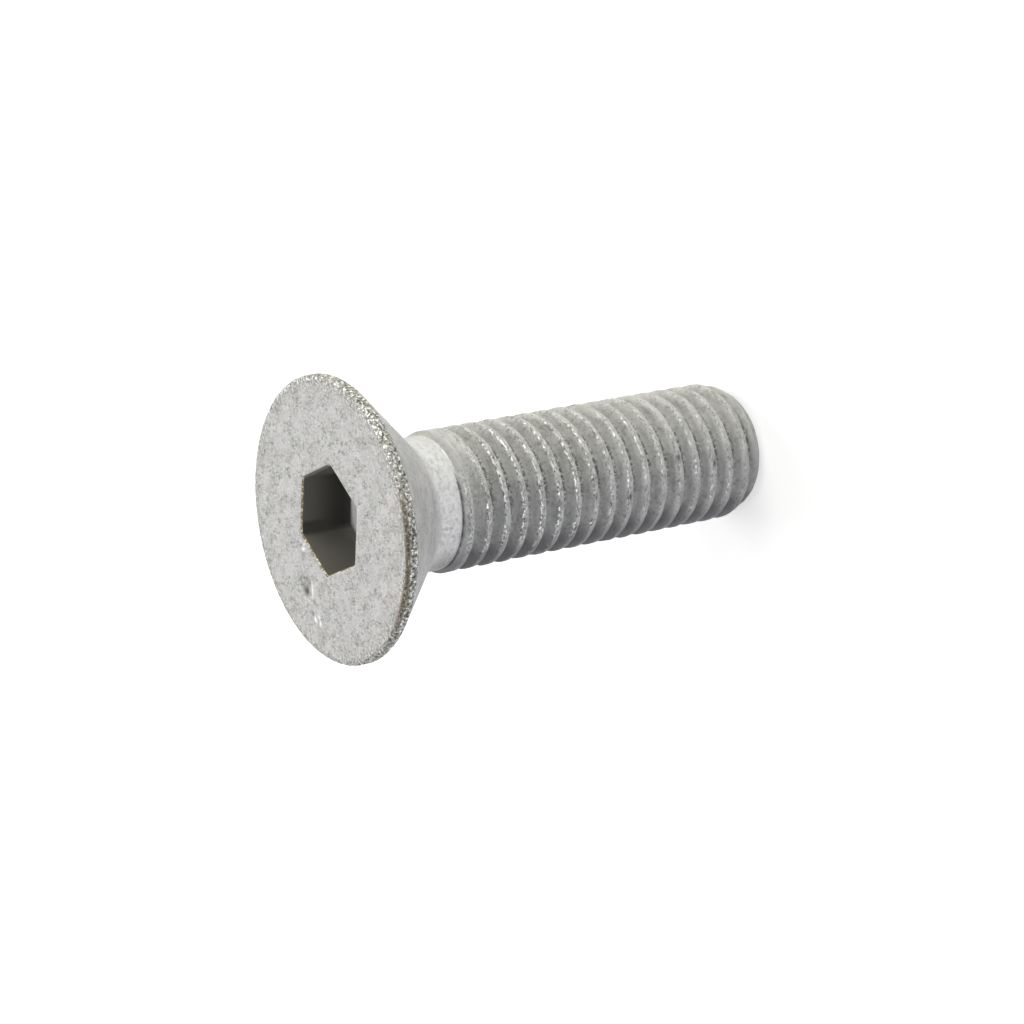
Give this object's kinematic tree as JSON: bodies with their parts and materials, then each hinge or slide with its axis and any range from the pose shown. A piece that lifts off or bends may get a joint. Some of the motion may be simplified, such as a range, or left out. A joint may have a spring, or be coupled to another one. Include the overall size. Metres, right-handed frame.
{
  "type": "countersunk socket screw",
  "caption": "Countersunk flat-head machine screw with a hexagon socket, a short plain neck and a threaded shank, galvanised.",
  "frame": {"origin": "centre of the head's flat face, at the mouth of the hexagon socket", "axes": "+Z along the screw's axis, out of the socket; the shank runs along -Z to its flat tip end"},
  "size_m": [0.0234, 0.0234, 0.04],
  "materials": {
    "zinc": "matt hot-dip zinc coat, light grey, grainy, with small pits"
  },
  "bodies": {
    "root": {"screw": "zinc"}
  },
  "joints": []
}
